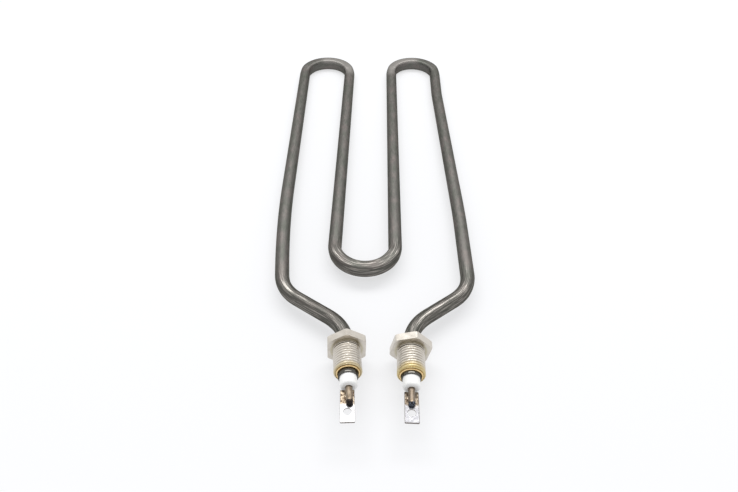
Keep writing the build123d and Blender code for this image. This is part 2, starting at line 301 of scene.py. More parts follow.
def finish_piece(name, bm, material, sharp, shown_as):
    """Turn a mesh in element millimetres into a placed, shaded piece of the model.

    sharp is the angle, in degrees, from which an edge is shaded sharp.
    """
    bmesh.ops.transform(bm, matrix=TO_ROW, verts=bm.verts)
    bmesh.ops.recalc_face_normals(bm, faces=bm.faces)
    for face in bm.faces:
        face.smooth = True
    for edge in bm.edges:
        edge.smooth = edge.calc_face_angle(0.0) < radians(sharp)
    mesh = bpy.data.meshes.new(name)
    bm.to_mesh(mesh)
    bm.free()
    piece = bpy.data.objects.new(name, mesh)
    bpy.context.scene.collection.objects.link(piece)
    mesh.materials.append(material)
    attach(piece, "root")
    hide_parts(shown_as)


def squircle(angle, half_width, half_height, power):
    """Distance from the middle to the edge of a squarish section in one direction."""
    across = abs(cos(angle)) / half_width
    upwards = abs(sin(angle)) / half_height
    return (across ** power + upwards ** power) ** (-1 / power)


def pressed(across, upwards, share, outward, thick):
    """Where a point of a round section goes when the former presses it.

    outward is 1 where positive across points away from the bend's centre. share is how hard.
    thick is how far the skin lies inside the outer one.
    """
    angle = atan2(upwards, across * outward)
    radius = hypot(across, upwards)
    inside = 0.5 - 0.5 * cos(angle)
    wide = (PRESSED_OUTSIDE if cos(angle) > 0 else PRESSED_INSIDE) - thick
    high = (PRESSED_ABOVE if upwards > 0 else PRESSED_BELOW) - thick
    reach = squircle(angle, wide, high, SQUARENESS + INSIDE_SQUARENESS * inside)
    reach = radius + (reach - radius) * share
    return reach * cos(angle) * outward, reach * sin(angle)


def ease(share):
    """Smooth start and end for a share between 0 and 1."""
    share = min(max(share, 0.0), 1.0)
    return share * share * (3 - 2 * share)


def press_share(segment, turned_by):
    """How hard the former presses at this point of a bend."""
    from_start = 1.0 if segment["from_crown"] else ease(turned_by / PRESS_RUN_IN)
    from_end = ease((segment["angle"] - turned_by) / PRESS_RUN_IN)
    return segment["press"] * min(from_start, from_end)


def outward_sign(axis):
    """Which way along a ring's across axis the outside of a bend lies."""
    return -1 if axis.z > 0 else 1


class Walker:
    """Carries a ring of edges along the tube, and keeps each point's place in its section."""

    def __init__(self, bm, lay, side, ring, place, heading, thick=0.0, along=0.0):
        self.bm = bm
        self.lay = lay
        self.side = side
        self.ring = ring
        self.place = place.copy()
        self.heading = heading.copy()
        self.across = UP.cross(heading).normalized()
        self.upward = heading.cross(self.across)
        self.thick = thick
        self.along = along
        self.kept = []

    def verts(self):
        """The points of the ring."""
        return list(dict.fromkeys(vert for edge in self.ring for vert in edge.verts))

    def note(self, share=0.0, outward=1):
        """Remember the ring's points with their place in the section, pressed or not."""
        for vert in self.verts():
            arm = vert.co - self.place
            across = arm.dot(self.across)
            upwards = arm.dot(self.upward)
            vert[self.lay] = Vector((-across * self.side, upwards, self.along * self.side)) * MM
            if share > 0:
                across, upwards = pressed(across, upwards, share, outward, self.thick)
            self.kept.append((vert, self.place + self.across * across + self.upward * upwards))

    def step(self, matrix):
        """Extrude the ring and carry the new one, with its axes, by a matrix."""
        grown = bmesh.ops.extrude_edge_only(self.bm, edges=self.ring)["geom"]
        self.ring = [part for part in grown if isinstance(part, bmesh.types.BMEdge)]
        bmesh.ops.transform(self.bm, matrix=matrix, verts=self.verts())
        turn = matrix.to_3x3()
        self.place = matrix @ self.place
        self.heading = (turn @ self.heading).normalized()
        self.across = (turn @ self.across).normalized()
        self.upward = (turn @ self.upward).normalized()

    def straight(self, length, step=STRAIGHT_STEP):
        """Walk straight on, in even steps."""
        count = max(1, ceil(length / step))
        for _ in range(count):
            self.step(Matrix.Translation(self.heading * (length / count)))
            self.along += length / count
            self.note()

    def bend(self, segment):
        """Walk round a bend, in even steps, with the former's press."""
        step = BEND_STEP if segment["radius"] < LONG_RADIUS else BOW_STEP
        count = max(2, ceil(segment["angle"] / step))
        angle = segment["angle"] / count
        centre = segment["centre"]
        spin = Matrix.Rotation(radians(angle), 4, segment["axis"])
        matrix = Matrix.Translation(centre) @ spin @ Matrix.Translation(-centre)
        outward = outward_sign(segment["axis"])
        for number in range(count):
            self.step(matrix)
            self.along += radians(angle) * segment["radius"]
            self.note(press_share(segment, angle * (number + 1)), outward)

    def swell(self, distance, factor):
        """One more ring further on, a different size."""
        shift = Matrix.Translation(self.heading * distance)
        about = Matrix.Translation(self.place + self.heading * distance)
        grow = about @ Matrix.Scale(factor, 4) @ about.inverted()
        self.step(shift)
        bmesh.ops.transform(self.bm, matrix=grow, verts=self.verts())
        self.along += distance
        self.note()

    def mouth(self, rings, radius):
        """Change the radius through (distance, radius) stations after the plain length."""
        here = 0.0
        for distance, wider in rings:
            self.swell(distance - here, wider / radius)
            here, radius = distance, wider

    def follow(self, segments):
        """Walk along all the straights and bends of one end."""
        for segment in segments:
            if segment["kind"] == "straight":
                self.straight(segment["length"])
            else:
                self.bend(segment)

    def settle(self):
        """Move every noted point to its pressed place."""
        for vert, place in self.kept:
            vert.co = place


def circle(bm, sides, radius, matrix):
    """The edges of a circle, always in the same order."""
    made = bmesh.ops.create_circle(bm, cap_ends=False, segments=sides, radius=radius, matrix=matrix)
    return list(dict.fromkeys(edge for vert in made["verts"] for edge in vert.link_edges))


def ring_at(bm, place, heading, radius, sides=RING_SIDES):
    """A ring of edges across the tube."""
    across = UP.cross(heading).normalized()
    axes = Matrix((across, heading.cross(across), heading)).transposed().to_4x4()
    matrix = Matrix.Translation(place) @ axes
    return circle(bm, sides, radius, matrix)


def sweep_skin(bm, lay, radius, mouth_rings, thick):
    """One skin of the sheath from mouth to mouth. Returns the ring of edges at each mouth."""
    crown = ring_at(bm, Vector((0, 0, 0)), RIGHT.segments[0]["heading"], radius)
    walkers = []
    for end in ENDS:
        start = end.segments[0]
        walker = Walker(bm, lay, end.side, crown, start["start"], start["heading"], thick)
        walker.note(1.0, outward_sign(start["axis"]))
        walker.follow(end.segments)
        walker.straight(end.flare, step=end.flare / 3)
        walker.mouth(mouth_rings, radius)
        walkers.append(walker)
    # both halves grow from the crown's round ring, so nothing is pressed until both are walked
    for walker in walkers:
        walker.settle()
    return [walker.ring for walker in walkers]


def build_sheath(material):
    """The bent tube, outside and inside, with both mouths opened out and their rims rounded."""
    bm, lay = new_mesh()
    wall = TUBE_RADIUS - TUBE_BORE_RADIUS
    outside = sweep_skin(bm, lay, TUBE_RADIUS, MOUTH_OUTSIDE, 0.0)
    inside = sweep_skin(bm, lay, TUBE_BORE_RADIUS, MOUTH_INSIDE, wall)
    for first, second in zip(outside, inside):
        bmesh.ops.bridge_loops(bm, edges=first + second)
    finish_piece("sheath", bm, material, 40, shown_as="heater_sheath")


def lathe(bm, lay, profile, matrix, sides, shape=None, turn=0.0):
    """Spin a closed profile of (distance, radius) points about the fitting's axis.

    shape may move each point, given its distance, radius and angle. turn is where the spin starts.
    """
    verts = [bm.verts.new((radius, 0, distance)) for distance, radius in profile]
    edges = [bm.edges.new(pair) for pair in zip(verts, verts[1:] + verts[:1])]
    bmesh.ops.spin(
        bm, geom=verts + edges, cent=(0, 0, 0), axis=(0, 0, 1), angle=tau, steps=sides,
        use_merge=True, use_normal_flip=False,
    )
    bmesh.ops.transform(bm, matrix=Matrix.Rotation(radians(turn), 4, "Z"), verts=bm.verts)
    for vert in bm.verts:
        distance, radius = vert.co.z, hypot(vert.co.x, vert.co.y)
        angle = atan2(vert.co.y, vert.co.x)
        if shape:
            distance, radius = shape(distance, radius, angle)
        vert.co = Vector((radius * cos(angle), radius * sin(angle), distance))
        vert[lay] = vert.co * MM
    bmesh.ops.transform(bm, matrix=matrix, verts=bm.verts)


def arc(distance, radius, length, height, start, sweep):
    """Points on an oval arc of a half section, from a start angle through a sweep, in degrees."""
    angles = [radians(start + sweep * step / ARC_STEPS) for step in range(ARC_STEPS + 1)]
    return [(distance + length * sin(angle), radius + height * cos(angle)) for angle in angles]


def hexagon_point(distance, radius, angle, hex_turn):
    """Move a lathe point beyond the seat out to the hexagon, with its corners chamfered."""
    flat_angle = (degrees(angle) - 90 - hex_turn) % 60 - 30
    flat = HEX_AF / 2 / cos(radians(flat_angle))
    flat = min(flat, HEX_CORNER - HEX_CORNER_WORN)
    share = (radius - SEAT_RADIUS) / (HEX_CORNER - SEAT_RADIUS)
    radius = SEAT_RADIUS + (flat - SEAT_RADIUS) * share
    cut = max(0.0, radius - (HEX_CORNER - HEX_CHAMFER_RUN)) * HEX_CHAMFER / HEX_CHAMFER_RUN
    distance = min(max(distance, cut), HEX_THICKNESS - cut)
    return distance, radius


def thread_point(distance, radius, angle):
    """Cut the thread's helical groove into a point of the shank's skin."""
    if radius < THREAD_ROOT + 0.1 or distance < RELIEF_END:
        return distance, radius
    phase = (distance / THREAD_PITCH - angle / tau) % 1.0
    ridge = 1 - abs(2 * phase - 1)
    ridge = min(max((ridge - THREAD_ROOT_FLAT) / THREAD_FLANK, 0.0), 1.0)
    run_in = ease((distance - RELIEF_END - 0.3) / 0.7)
    groove = (radius - THREAD_ROOT) * (1 - ridge) * run_in
    return distance, radius - max(groove, 0.0)


def fitting_profile():
    """The fitting's half section, from its bore at the back round to its bore at the front."""
    bore, wide_bore = TUBE_RADIUS + SLIDING_FIT, MOUTH_RADIUS + SLIDING_FIT
    deep = FITTING_LENGTH - WIDE_BORE_LENGTH
    seat = HEX_THICKNESS - SEAT_DEPTH
    face_rows = [SEAT_RADIUS, 8.0, 9.0, 9.8, 10.4, HEX_CORNER - 0.22, HEX_CORNER - 0.07]
    hex_rows = [0.06, 0.2, 1.4, 2.8, HEX_THICKNESS - 0.2, HEX_THICKNESS - 0.06]
    profile = [(0.0, bore), (0.0, 5.5)]
    profile += [(0.0, radius) for radius in face_rows]
    profile += [(row, HEX_CORNER) for row in hex_rows]
    profile += [(HEX_THICKNESS, radius) for radius in reversed(face_rows)]
    # the undercut seat, the collar and the relief groove
    profile += [(seat, SEAT_RADIUS - 0.05), (seat, COLLAR_RADIUS)]
    profile += [(COLLAR_END - 0.1, COLLAR_RADIUS), (COLLAR_END, COLLAR_RADIUS - 0.1)]
    profile += [(COLLAR_END + 0.08, RELIEF_RADIUS + 0.1), (RELIEF_END - 0.1, RELIEF_RADIUS)]
    profile += [(RELIEF_END, RELIEF_RADIUS + 0.05), (RELIEF_END + 0.2, RELIEF_RADIUS + 0.5)]
    # the shank, with enough rows for the thread, and its chamfered nose
    start = RELIEF_END + 0.45
    nose = FITTING_LENGTH - NOSE_CHAMFER
    for row in range(THREAD_ROWS + 1):
        profile.append((start + (nose - start) * row / THREAD_ROWS, THREAD_RADIUS))
    for row in range(1, CHAMFER_ROWS):
        cut = NOSE_CHAMFER * row / CHAMFER_ROWS
        profile.append((nose + cut, THREAD_RADIUS - cut))
    # the nose's face, dished a little, and the bore
    edge = THREAD_RADIUS - NOSE_CHAMFER
    dish = FITTING_LENGTH - NOSE_RECESS
    profile += [(FITTING_LENGTH, edge), (FITTING_LENGTH, edge - 0.2)]
    profile += [(FITTING_LENGTH - 0.04, edge - 0.28), (dish, edge - 0.34), (dish, wide_bore)]
    profile += [(deep, wide_bore), (deep - BORE_CONE_LENGTH, bore)]
    return profile


def build_fitting(end, material):
    """The hexagon and the threaded shank, turned from one bar."""

    def shape(distance, radius, angle):
        if radius > SEAT_RADIUS and distance < RELIEF_END:
            return hexagon_point(distance, radius, angle, end.hex_turn)
        return thread_point(distance, radius, angle)

    bm, lay = new_mesh()
    turn = 90 + end.hex_turn
    lathe(bm, lay, fitting_profile(), end.fitting_frame(), FITTING_SIDES, shape, turn)
    # the hexagon's chamfer brings a few rows of points together
    bmesh.ops.dissolve_degenerate(bm, dist=1e-6, edges=bm.edges)
    name = "threaded_fitting_" + end.name
    finish_piece("fitting_" + end.name, bm, material, 24, shown_as=name)


def build_bush(end, material):
    """The ceramic bush, a turned piece with a rounded shoulder."""
    back = end.flare + MOUTH_FLARE
    face = end.bush_face
    wide, hole = MOUTH_BORE_RADIUS - SLIDING_FIT, PIN_RADIUS + SLIDING_FIT
    profile = [(back, hole), (back, wide), (face - 4.0, wide), (face - 1.4, wide)]
    shoulder = BUSH_SHOULDER
    profile += arc(face - shoulder, wide - shoulder, shoulder, shoulder, 0, 90)
    profile += [(face, 2.2), (face - 0.03, 1.85), (face - 0.14, 1.65), (face - 0.4, hole)]
    bm, lay = new_mesh()
    lathe(bm, lay, profile, end.fitting_frame(), BUSH_SIDES)
    name = "ceramic_bush_" + end.name
    finish_piece("bush_" + end.name, bm, material, 40, shown_as=name)


def build_braze(end, material):
    """The brazing metal in the corner between the tube and the fitting's nose."""
    foot = FITTING_LENGTH - NOSE_RECESS
    inner = MOUTH_RADIUS - 0.02
    # a low bead on the nose's dished face, against the tube
    profile = [(foot, inner), (foot, 5.78)]
    profile += arc(foot + 0.35, 5.28, 0.52, 0.56, -10, 130)
    profile.append((foot + 0.72, inner))

    def shape(distance, radius, angle):
        round_place = Vector((cos(angle) * 1.7, sin(angle) * 1.7, end.side * 3.0))
        spread = 1 + BRAZE_WANDER * noise.noise(round_place)
        radius = inner + (radius - inner) * min(spread, 1.0)
        return foot + (distance - foot) * min(max(spread, 0.75), 1.0), radius

    bm, lay = new_mesh()
    lathe(bm, lay, profile, end.fitting_frame(), BRAZE_SIDES, shape)
    name = "braze_ring_" + end.name
    finish_piece("braze_" + end.name, bm, material, 50, shown_as=name)


def build_pin(end, material):
    """The terminal pin: bent with the tube, flattened under its weld, with a melted end."""
    bm, lay = new_mesh()
    arm, neck = end.segments[-3], end.segments[-2]
    place = arm["start"] + arm["heading"] * (arm["length"] - PIN_REACH)
    first = ring_at(bm, place, arm["heading"], PIN_RADIUS, PIN_SIDES)
    walker = Walker(bm, lay, 1, first, place, arm["heading"], along=-PIN_REACH)
    walker.note()
    walker.straight(PIN_REACH)
    walker.bend(dict(neck, press=0.0))
    walker.along = 0.0  # from here the pin is measured like the fitting, from its back face
    walker.straight(end.bush_face + PIN_FINE_START)
    walker.straight(PIN_STANDOUT - PIN_FINE_START - PIN_TIP_LENGTH, step=PIN_STEP)
    walker.mouth(PIN_TIP, PIN_RADIUS)
    walker.settle()
    bmesh.ops.contextual_create(bm, geom=first)
    bmesh.ops.contextual_create(bm, geom=walker.ring)
    from_tab = end.tab_frame()
    to_tab = from_tab.inverted()
    for vert in bm.verts:
        across, back, height = to_tab @ vert.co
        if back >= TAB_BACK + 0.2:
            continue
        if height < 0.0:
            vert.co = from_tab @ Vector((across * PIN_WELDED_WIDER, back, -WELD_SINK))
        else:
            vert.co = from_tab @ Vector((across * PIN_ABOVE_WIDER, back, height))
    name = "terminal_pin_" + end.name
    finish_piece("pin_" + end.name, bm, material, 45, shown_as=name)


def rounded_outline(bm, middle, width, length, corner):
    """A loop of edges round a rectangle with rounded corners."""
    verts = []
    for number, (side_x, side_y) in enumerate([(1, 1), (-1, 1), (-1, -1), (1, -1)]):
        inset = Vector((side_x * (width / 2 - corner), side_y * (length / 2 - corner), 0))
        for step in range(CORNER_STEPS + 1):
            angle = radians(90 * (number + step / CORNER_STEPS))
            arm = Vector((cos(angle), sin(angle), 0)) * corner
            verts.append(bm.verts.new(middle + inset + arm))
    return [bm.edges.new(pair) for pair in zip(verts, verts[1:] + verts[:1])]


def build_tab(end, material):
    """The flat tab with its screw hole, and the squeezed-out metal beside the weld."""
    bm, lay = new_mesh()
    middle = Vector((end.tab_offset, TAB_BACK - TAB_LENGTH / 2, 0))
    edges = rounded_outline(bm, middle, TAB_WIDTH, TAB_LENGTH, TAB_CORNER)
    hole_place = Matrix.Translation((end.tab_offset, TAB_FRONT + TAB_HOLE_END, 0))
    edges += circle(bm, HOLE_SIDES, TAB_HOLE_RADIUS, hole_place)
    filled = bmesh.ops.triangle_fill(bm, edges=edges, use_beauty=True, use_dissolve=False)
    faces = [part for part in filled["geom"] if isinstance(part, bmesh.types.BMFace)]
    grown = bmesh.ops.extrude_face_region(bm, geom=faces)["geom"]
    lower = [part for part in grown if isinstance(part, bmesh.types.BMVert)]
    bmesh.ops.translate(bm, verts=lower, vec=(0, 0, -TAB_THICKNESS))
    rims = [edge for edge in bm.edges if abs(degrees(edge.calc_face_angle(0.0))) > 60]
    bmesh.ops.bevel(
        bm, geom=rims, offset=TAB_EDGE, segments=2, profile=0.5, affect="EDGES", material=-1
    )
    for across, back, wide, long in WELD_BUMPS:
        stretch = Matrix.Diagonal((wide, long, WELD_BUMP_HEIGHT, 1.0))
        matrix = Matrix.Translation((across, back, -WELD_BUMP_SINK)) @ stretch
        bmesh.ops.create_uvsphere(bm, u_segments=20, v_segments=12, radius=1.0, matrix=matrix)
    for vert in bm.verts:
        vert[lay] = vert.co * MM
    bmesh.ops.transform(bm, matrix=end.tab_frame(), verts=bm.verts)
    name = "tab_terminal_" + end.name
    finish_piece("tab_" + end.name, bm, material, 20, shown_as=name)


# ------------------------------------------------------------------ materials

class Paint:
    """A node material, with short ways to add the nodes that the finishes below share."""

    def __init__(self, name, roughness, metallic):
        self.material = bpy.data.materials.new(name)
        self.material.use_nodes = True
        self.tree = self.material.node_tree
        self.shader = self.tree.nodes["Principled BSDF"]
        self.shader.inputs["Roughness"].default_value = roughness
        self.shader.inputs["Metallic"].default_value = metallic

    def node(self, kind, **settings):
        """A new node with its settings."""
        node = self.tree.nodes.new(kind)
        for key, value in settings.items():
            setattr(node, key, value)
        return node

    def link(self, source, target):
        """Join an output to an input."""
        self.tree.links.new(source, target)

    def feed(self, source, target):
        """Join an output to an input, or set the input to a number or a plain colour."""
        if isinstance(source, bpy.types.NodeSocket):
            self.link(source, target)
        elif isinstance(source, tuple):
            target.default_value = (*source, 1.0)
        else:
            target.default_value = source

    def place(self, stretch=(1, 1, 1), lay=True):
        """Coordinates in millimetres on the piece itself, stretched."""
        scaled = self.node("ShaderNodeMapping")
        scaled.inputs["Scale"].default_value = [part / MM for part in stretch]
        if lay:
            source = self.node("ShaderNodeAttribute", attribute_name="lay").outputs["Vector"]
        else:
            source = self.node("ShaderNodeTexCoord").outputs["Object"]
        self.link(source, scaled.inputs["Vector"])
        return scaled.outputs["Vector"]

    def axes(self):
        """The place on the piece, in millimetres, as three outputs."""
        split = self.node("ShaderNodeSeparateXYZ")
        self.link(self.place(), split.inputs["Vector"])
        return split.outputs["X"], split.outputs["Y"], split.outputs["Z"]

    def speckle(self, scale, stretch=(1, 1, 1), detail=3.0, roughness=0.55, lay=True):
        """Noise whose size is in millimetres."""
        speckle = self.node("ShaderNodeTexNoise")
        speckle.inputs["Scale"].default_value = 1 / scale
        speckle.inputs["Detail"].default_value = detail
        speckle.inputs["Roughness"].default_value = roughness
        self.link(self.place(stretch, lay), speckle.inputs["Vector"])
        return speckle.outputs["Fac"]

    def ramp(self, value, *stops):
        """A colour ramp through (place, colour) stops."""
        ramp = self.node("ShaderNodeValToRGB")
        band = ramp.color_ramp
        while len(band.elements) < len(stops):
            band.elements.new(0.5)
        for element, (place, colour) in zip(band.elements, stops):
            element.position = place
            element.color = (*colour, 1.0)
        self.link(value, ramp.inputs["Fac"])
        return ramp.outputs["Color"]

    def blend(self, share, first, second, kind="MIX"):
        """Mix two colours, each an output or a plain colour, by a share."""
        mix = self.node("ShaderNodeMix", data_type="RGBA", blend_type=kind)
        self.feed(share, mix.inputs["Factor"])
        self.feed(first, mix.inputs["A"])
        self.feed(second, mix.inputs["B"])
        return mix.outputs["Result"]

    def sums(self, operation, first, second=0.0, third=None, clamp=False):
        """A Math node."""
        node = self.node("ShaderNodeMath", operation=operation, use_clamp=clamp)
        for number, value in enumerate((first, second, third)):
            if value is not None:
                self.feed(value, node.inputs[number])
        return node.outputs["Value"]

    def times(self, first, second):
        """One value times another."""
        return self.sums("MULTIPLY", first, second)

    def between(self, value, low, high, to_low=0.0, to_high=1.0):
        """Map a range of values onto another, smoothly."""
        node = self.node("ShaderNodeMapRange", interpolation_type="SMOOTHSTEP")
        self.link(value, node.inputs["Value"])
        numbers = {"From Min": low, "From Max": high, "To Min": to_low, "To Max": to_high}
        for name, number in numbers.items():
            node.inputs[name].default_value = number
        return node.outputs["Result"]

    def below(self, value, low, high):
        """1 up to the low value, and easing to 0 at the high one."""
        return self.between(value, low, high, 1.0, 0.0)

    def band(self, value, start, end, fade):
        """1 between two values, and easing to 0 towards both."""
        rise = self.between(value, start, start + fade)
        return self.times(rise, self.below(value, end - fade, end))

    def bump(self, height, strength, distance):
        """Fine relief. distance is in millimetres."""
        bump = self.node("ShaderNodeBump")
        bump.inputs["Strength"].default_value = strength
        bump.inputs["Distance"].default_value = distance * MM
        self.link(height, bump.inputs["Height"])
        self.link(bump.outputs["Normal"], self.shader.inputs["Normal"])

    def colour(self, source):
        """Set the material's colour."""
        self.link(source, self.shader.inputs["Base Color"])

    def rough(self, source):
        """Set the material's roughness."""
        self.link(source, self.shader.inputs["Roughness"])


def paint_sheath():
    """Annealed steel: olive and pinkish oxide in blotches, burnished streaks at the bends painted
    lighter as highlights, and painted highlights and shade along the tube.
    """
    paint = Paint("oxidised_sheath", 0.55, 1.0)
    _, upwards, along = paint.axes()
    reach = paint.sums("ABSOLUTE", along)
    arms = paint.between(reach, ARMS_START - 12, ARMS_START + 16)
    middle = paint.below(reach, 22.0, 34.0)
    mouth = paint.between(reach, MOUTH_START, MOUTH_START + 1.0)
    cloud = paint.speckle(5.0, (1, 1, 0.45), detail=4.0, roughness=0.6)
    grain = paint.speckle(0.9, (1, 1, 0.3), roughness=0.65)
    olive, grey, pinkish = (0.128, 0.132, 0.119), (0.148, 0.144, 0.136), (0.174, 0.158, 0.151)
    tint = paint.ramp(cloud, (0.36, olive), (0.5, grey), (0.64, pinkish))
    fine = paint.ramp(grain, (0.3, (0.74, 0.74, 0.73)), (0.7, (1.16, 1.14, 1.12)))
    tint = paint.blend(0.85, tint, fine, "MULTIPLY")
    # the tops of the back bends are painted lighter, a painted highlight
    back_bend = paint.band(reach, BACK_BEND_START, BACK_BEND_END, 7.0)
    painted_crest_highlight = paint.times(back_bend, paint.between(upwards, 1.6, 3.0))
    tint = paint.blend(paint.times(painted_crest_highlight, 0.7), tint, (0.30, 0.285, 0.27))
    # the arms and the middle bend are darker, partly their own tone and partly painted shade
    dark = paint.sums("MAXIMUM", arms, paint.times(middle, 0.7))
    tint = paint.blend(dark, tint, paint.blend(0.5, tint, (0.045, 0.044, 0.037)))
    # and burnished in streaks by the former; the streaks are also painted lighter, as highlights
    streak = paint.speckle(0.42, (1, 1, 0.035), detail=2.0, roughness=0.6)
    burnish_and_sheen = paint.sums("MAXIMUM", paint.times(arms, 0.8), middle)
    worn_and_sheen = paint.times(burnish_and_sheen, paint.between(streak, 0.5, 0.64))
    tint = paint.blend(paint.times(worn_and_sheen, 0.85), tint, (0.36, 0.335, 0.31))
    # the mouths are painted dark, a painted reflection of dark surroundings
    paint.colour(paint.blend(mouth, tint, (0.10, 0.095, 0.085)))
    rough = paint.between(grain, 0.3, 0.7, 0.42, 0.54)
    rough = paint.sums("MULTIPLY_ADD", arms, -0.1, rough)
    rough = paint.sums("MULTIPLY_ADD", worn_and_sheen, -0.14, rough)
    paint.rough(paint.sums("MULTIPLY_ADD", mouth, -0.33, rough, clamp=True))
    paint.shader.inputs["Specular Tint"].default_value = (0.5, 0.5, 0.47, 1)
    paint.bump(streak, 0.3, 0.04)
    return paint.material


def paint_nickel(end):
    """Satin nickel, warm, with a straw flush where the brazing heat reached the nose."""
    flush_start, flush_share = (16.6, 0.55) if end.side < 0 else (13.4, 0.85)
    paint = Paint("nickel_plate_" + end.name, 0.22, 1.0)
    across, upwards, along = paint.axes()
    squares = paint.sums("ADD", paint.times(across, across), paint.times(upwards, upwards))
    radius = paint.sums("SQRT", squares)
    cloud = paint.speckle(4.0)
    tint = paint.ramp(cloud, (0.35, (0.60, 0.56, 0.50)), (0.65, (0.68, 0.64, 0.58)))
    # the thread's grooves are painted darker, as shade
    shank = paint.between(along, HEX_THICKNESS - 0.25, HEX_THICKNESS - 0.05)
    groove = paint.below(radius, THREAD_ROOT + 0.05, THREAD_ROOT + 0.5)
    painted_groove_shade = paint.times(groove, paint.times(shank, 0.62))
    tint = paint.blend(painted_groove_shade, tint, (0.13, 0.105, 0.075))
    # a painted olive reflection on the hexagon's face, round the shank
    beyond_seat = paint.between(radius, 7.05, 7.15)
    foot = paint.times(beyond_seat, paint.below(radius, 7.4, 8.8))
    tint = paint.blend(paint.times(paint.times(foot, shank), 0.55), tint, (0.42, 0.38, 0.23))
    wander = paint.sums("MULTIPLY_ADD", cloud, 3.0, -1.5)
    flush = paint.between(paint.sums("ADD", along, wander), flush_start, 18.6)
    paint.colour(paint.blend(paint.times(flush, flush_share), tint, (0.60, 0.48, 0.22)))
    paint.rough(paint.between(cloud, 0.3, 0.7, 0.27, 0.37))
    paint.bump(paint.speckle(0.5, detail=2.0), 0.06, 0.02)
    return paint.material


def paint_braze():
    """Golden brazing metal, a little uneven."""
    paint = Paint("braze_alloy", 0.3, 1.0)
    cloud = paint.speckle(1.2)
    paint.colour(paint.ramp(cloud, (0.3, (0.62, 0.42, 0.19)), (0.7, (0.90, 0.70, 0.38))))
    paint.rough(paint.between(cloud, 0.3, 0.7, 0.2, 0.36))
    paint.bump(paint.speckle(0.5), 0.3, 0.06)
    return paint.material


def paint_ceramic():
    """Smooth white steatite."""
    paint = Paint("white_ceramic", 0.35, 0.0)
    cloud = paint.speckle(2.0)
    paint.colour(paint.ramp(cloud, (0.3, (0.90, 0.89, 0.85)), (0.7, (0.94, 0.93, 0.89))))
    paint.rough(paint.between(cloud, 0.3, 0.7, 0.3, 0.42))
    paint.bump(paint.speckle(0.4), 0.08, 0.03)
    return paint.material


def paint_pin(end):
    """Steel pin, tinted brown, burnt at its melted end: black, with a glaze."""
    if end.side < 0:
        light, glaze = (0.38, 0.31, 0.235), (0.05, 0.038, 0.03)
    else:
        light, glaze = (0.25, 0.205, 0.165), (0.13, 0.15, 0.19)
    paint = Paint("pin_steel_" + end.name, 0.35, 1.0)
    _, _, along = paint.axes()
    cloud = paint.speckle(1.0, (1, 1, 0.5))
    tint = paint.ramp(cloud, (0.3, (0.20, 0.155, 0.11)), (0.7, light))
    wander = paint.sums("MULTIPLY_ADD", cloud, 1.6, -0.8)
    reach = paint.sums("ADD", along, wander)
    burnt = paint.between(reach, end.pin_tip - 2.1, end.pin_tip - 1.2)
    soot = paint.speckle(0.55, detail=2.0)
    char = paint.ramp(soot, (0.42, (0.018, 0.017, 0.018)), (0.58, glaze))
    paint.colour(paint.blend(burnt, tint, char))
    paint.rough(paint.between(cloud, 0.3, 0.7, 0.28, 0.42))
    paint.bump(cloud, 0.2, 0.05)
    return paint.material


def paint_tab(end):
    """Bright steel strip with straw and brown heat colours, burnt beside the weld."""
    # the right tab's steel tones are painted darker than the left's, painted shade for the less
    # light it catches
    if end.side < 0:
        steel, bright = (0.47, 0.47, 0.485), (0.54, 0.535, 0.54)
        burn, brown, straw = (0.07, 0.045, 0.03), (0.19, 0.145, 0.10), (0.40, 0.335, 0.25)
    else:
        steel, bright = (0.42, 0.42, 0.445), (0.50, 0.495, 0.51)
        burn, brown, straw = (0.09, 0.06, 0.04), (0.24, 0.19, 0.14), (0.42, 0.36, 0.28)
    paint = Paint("tab_steel_" + end.name, 0.4, 1.0)
    across, back, height = paint.axes()
    cloud = paint.speckle(1.6)
    fine = paint.speckle(1.5, detail=4.0, roughness=0.65)
    plain = paint.ramp(cloud, (0.3, steel), (0.7, bright))
    warm = paint.ramp(fine, (0.40, burn), (0.50, brown), (0.58, straw))
    wander = paint.sums("MULTIPLY_ADD", cloud, 2.4, -1.2)
    heat = paint.sums("ADD", back, wander)
    heated = paint.between(heat, -4.4, -2.6)
    tint = paint.blend(heated, plain, warm)
    # burnt marks close to the pin
    beside = paint.below(paint.sums("ABSOLUTE", across), 1.5, 2.5)
    beside = paint.times(beside, paint.between(heat, -4.9, -3.6))
    burnt = paint.times(beside, paint.between(fine, 0.36, 0.56, 1.0, 0.25))
    tint = paint.blend(burnt, tint, (0.07, 0.045, 0.03))
    # the underside and the sheared edges are painted darker, as shade
    tint = paint.blend(paint.below(height, -0.2, -0.08), tint, (0.36, 0.33, 0.31))
    from_middle = paint.sums("ABSOLUTE", paint.sums("SUBTRACT", across, end.tab_offset))
    side_rim = paint.between(from_middle, TAB_WIDTH / 2 - 0.42, TAB_WIDTH / 2 - 0.1)
    front_rim = paint.below(back, TAB_FRONT + 0.1, TAB_FRONT + 0.42)
    painted_edge_shade = paint.sums("MAXIMUM", side_rim, front_rim)
    paint.colour(paint.blend(paint.times(painted_edge_shade, 0.9), tint, (0.17, 0.155, 0.145)))
    paint.rough(paint.between(cloud, 0.3, 0.7, 0.2, 0.28))
    brushed = paint.speckle(0.3, (1, 0.05, 1), detail=2.0)
    paint.bump(paint.sums("ADD", brushed, paint.times(heated, fine)), 0.35, 0.12)
    return paint.material


def paint_plain(name, low, high, size, roughness, metallic):
    """A finish for the parts inside the tube: two mottled tones and a fine grain."""
    paint = Paint(name, roughness, metallic)
    cloud = paint.speckle(size, lay=False)
    paint.colour(paint.ramp(cloud, (0.3, low), (0.7, high)))
    paint.rough(paint.between(cloud, 0.3, 0.7, roughness - 0.06, roughness + 0.06))
    paint.bump(paint.speckle(size / 4, lay=False), 0.2, 0.05)
    return paint.material


